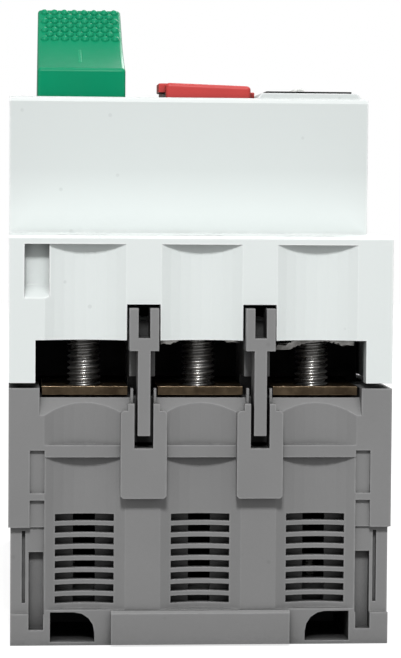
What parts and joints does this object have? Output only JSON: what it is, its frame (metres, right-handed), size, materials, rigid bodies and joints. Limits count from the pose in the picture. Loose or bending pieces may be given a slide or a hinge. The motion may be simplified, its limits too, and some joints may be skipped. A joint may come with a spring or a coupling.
{
  "type": "motor protection breaker",
  "caption": "Compact rail-mounted motor protection breaker: white front over grey base, green start and red stop push buttons, setting dial, screw clamp terminals at both ends.",
  "frame": {"origin": "centre of the bounding box at the rear plane", "axes": "X across the poles, Y along the tall side from load to line end, Z from the rail side to the operating front"},
  "size_m": [0.045, 0.092, 0.0777],
  "materials": {
    "white_plastic": "fine-grained satin moulding",
    "grey_plastic": "fine-grained moulding",
    "dark_plastic": "thermoset, satin",
    "green_plastic": "satin, knurled top",
    "red_plastic": "satin",
    "pale_plastic": "satin",
    "steel": "zinc plated",
    "brass": "lightly tarnished",
    "copper": "copper-coloured"
  },
  "bodies": {
    "enclosure": {"base_housing": "grey_plastic", "front_housing": "white_plastic", "chamber_body": "dark_plastic", "start_spring": "steel", "stop_spring": "steel", "scale_plate": "dark_plastic", "din_clip_spring": "steel", "contact_return_spring": "steel", "latch_pin": "steel", "mechanism_frame": "steel", "phase_barrier_load_left": "grey_plastic", "barrier_clip_load_left": "grey_plastic", "phase_barrier_load_right": "grey_plastic", "barrier_clip_load_right": "grey_plastic", "terminal_plate_load_left": "brass", "terminal_plate_load_middle": "brass", "terminal_plate_load_right": "brass", "phase_barrier_line_left": "grey_plastic", "barrier_clip_line_left": "grey_plastic", "phase_barrier_line_right": "grey_plastic", "barrier_clip_line_right": "grey_plastic", "terminal_plate_line_left": "brass", "terminal_plate_line_middle": "brass", "terminal_plate_line_right": "brass", "bimetal_left": "steel", "trip_coil_left": "copper", "arc_chute_left": "steel", "bimetal_middle": "steel", "trip_coil_middle": "copper", "arc_chute_middle": "steel", "bimetal_right": "steel", "trip_coil_right": "copper", "arc_chute_right": "steel", "chassis_screw_1": "steel", "chassis_screw_2": "steel", "chassis_screw_3": "steel", "chassis_screw_4": "steel"},
    "start": {"start_button": "green_plastic"},
    "stop": {"stop_button": "red_plastic"},
    "contacts": {"contact_carrier": "dark_plastic", "moving_contact_left": "copper", "moving_contact_middle": "copper", "moving_contact_right": "copper"},
    "dial": {"current_dial": "pale_plastic"},
    "test": {"test_slide": "grey_plastic"},
    "rail_clip": {"din_clip": "grey_plastic"},
    "trip": {"trip_bar": "pale_plastic"},
    "latch": {"latch_lever": "steel"},
    "clamp_load_left": {"clamp_washer_load_left": "steel"},
    "screw_load_left": {"terminal_screw_load_left": "steel"},
    "clamp_load_middle": {"clamp_washer_load_middle": "steel"},
    "screw_load_middle": {"terminal_screw_load_middle": "steel"},
    "clamp_load_right": {"clamp_washer_load_right": "steel"},
    "screw_load_right": {"terminal_screw_load_right": "steel"},
    "clamp_line_left": {"clamp_washer_line_left": "steel"},
    "screw_line_left": {"terminal_screw_line_left": "steel"},
    "clamp_line_middle": {"clamp_washer_line_middle": "steel"},
    "screw_line_middle": {"terminal_screw_line_middle": "steel"},
    "clamp_line_right": {"clamp_washer_line_right": "steel"},
    "screw_line_right": {"terminal_screw_line_right": "steel"}
  },
  "joints": [
    {"name": "start_press", "type": "slide", "parent": "enclosure", "child": "start", "axis": [0, 0, -1], "range_m": [0, 0.005], "stiffness_N_per_m": 300, "springref_m": -0.004, "deforming": ["start_spring", "contact_return_spring"]},
    {"name": "stop_rise", "type": "slide", "parent": "enclosure", "child": "stop", "axis": [0, 0, 1], "range_m": [0, 0.0025], "deforming": ["stop_spring"]},
    {"name": "contact_close", "type": "slide", "parent": "enclosure", "child": "contacts", "axis": [0, 0, -1], "range_m": [0, 0.002]},
    {"name": "latch_turn", "type": "hinge", "parent": "enclosure", "child": "latch", "pos_m": [0.0026, 0.008, 0.0531], "axis": [1, 0, 0], "range_deg": [0, 4]},
    {"name": "dial_turn", "type": "hinge", "parent": "enclosure", "child": "dial", "pos_m": [0.015, -0.0085, 0.066], "axis": [0, 0, 1], "range_deg": [-130, 130]},
    {"name": "test_push", "type": "slide", "parent": "enclosure", "child": "test", "axis": [1, 0, 0], "range_m": [0, 0.002], "stiffness_N_per_m": 200, "springref_m": -0.002},
    {"name": "trip_turn", "type": "hinge", "parent": "enclosure", "child": "trip", "pos_m": [0, -0.0177, 0.0466], "axis": [1, 0, 0], "range_deg": [0, 12]},
    {"name": "rail_clip_pull", "type": "slide", "parent": "enclosure", "child": "rail_clip", "axis": [0, -1, 0], "range_m": [0, 0.003], "stiffness_N_per_m": 800, "springref_m": -0.003, "deforming": ["din_clip_spring"]},
    {"name": "clamp_load_left_slide", "type": "slide", "parent": "enclosure", "child": "clamp_load_left", "axis": [0, 0, -1], "range_m": [0, 0.005]},
    {"name": "screw_load_left_turn", "type": "hinge", "parent": "clamp_load_left", "child": "screw_load_left", "pos_m": [-0.0136, -0.0385, 0.038], "axis": [0, 0, -1], "range_deg": [0, 2572]},
    {"name": "clamp_load_middle_slide", "type": "slide", "parent": "enclosure", "child": "clamp_load_middle", "axis": [0, 0, -1], "range_m": [0, 0.0044]},
    {"name": "screw_load_middle_turn", "type": "hinge", "parent": "clamp_load_middle", "child": "screw_load_middle", "pos_m": [0, -0.0385, 0.038], "axis": [0, 0, -1], "range_deg": [0, 2263]},
    {"name": "clamp_load_right_slide", "type": "slide", "parent": "enclosure", "child": "clamp_load_right", "axis": [0, 0, -1], "range_m": [0, 0.0038]},
    {"name": "screw_load_right_turn", "type": "hinge", "parent": "clamp_load_right", "child": "screw_load_right", "pos_m": [0.0136, -0.0385, 0.038], "axis": [0, 0, -1], "range_deg": [0, 1955]},
    {"name": "clamp_line_left_slide", "type": "slide", "parent": "enclosure", "child": "clamp_line_left", "axis": [0, 0, -1], "range_m": [0, 0.005]},
    {"name": "screw_line_left_turn", "type": "hinge", "parent": "clamp_line_left", "child": "screw_line_left", "pos_m": [-0.0136, 0.0385, 0.038], "axis": [0, 0, -1], "range_deg": [0, 2572]},
    {"name": "clamp_line_middle_slide", "type": "slide", "parent": "enclosure", "child": "clamp_line_middle", "axis": [0, 0, -1], "range_m": [0, 0.0044]},
    {"name": "screw_line_middle_turn", "type": "hinge", "parent": "clamp_line_middle", "child": "screw_line_middle", "pos_m": [0, 0.0385, 0.038], "axis": [0, 0, -1], "range_deg": [0, 2263]},
    {"name": "clamp_line_right_slide", "type": "slide", "parent": "enclosure", "child": "clamp_line_right", "axis": [0, 0, -1], "range_m": [0, 0.0038]},
    {"name": "screw_line_right_turn", "type": "hinge", "parent": "clamp_line_right", "child": "screw_line_right", "pos_m": [0.0136, 0.0385, 0.038], "axis": [0, 0, -1], "range_deg": [0, 1955]}
  ],
  "couplings": [
    {"joint": "stop_rise", "follows": "start_press", "ratio": 0.5},
    {"joint": "contact_close", "follows": "start_press", "ratio": 0.4},
    {"joint": "latch_turn", "follows": "start_press", "rad_per_m": 13.96},
    {"joint": "trip_turn", "follows": "test_push", "rad_per_m": 104.5},
    {"joint": "screw_load_left_turn", "follows": "clamp_load_left_slide", "rad_per_m": 8976},
    {"joint": "screw_load_middle_turn", "follows": "clamp_load_middle_slide", "rad_per_m": 8976},
    {"joint": "screw_load_right_turn", "follows": "clamp_load_right_slide", "rad_per_m": 8976},
    {"joint": "screw_line_left_turn", "follows": "clamp_line_left_slide", "rad_per_m": 8976},
    {"joint": "screw_line_middle_turn", "follows": "clamp_line_middle_slide", "rad_per_m": 8976},
    {"joint": "screw_line_right_turn", "follows": "clamp_line_right_slide", "rad_per_m": 8976}
  ]
}
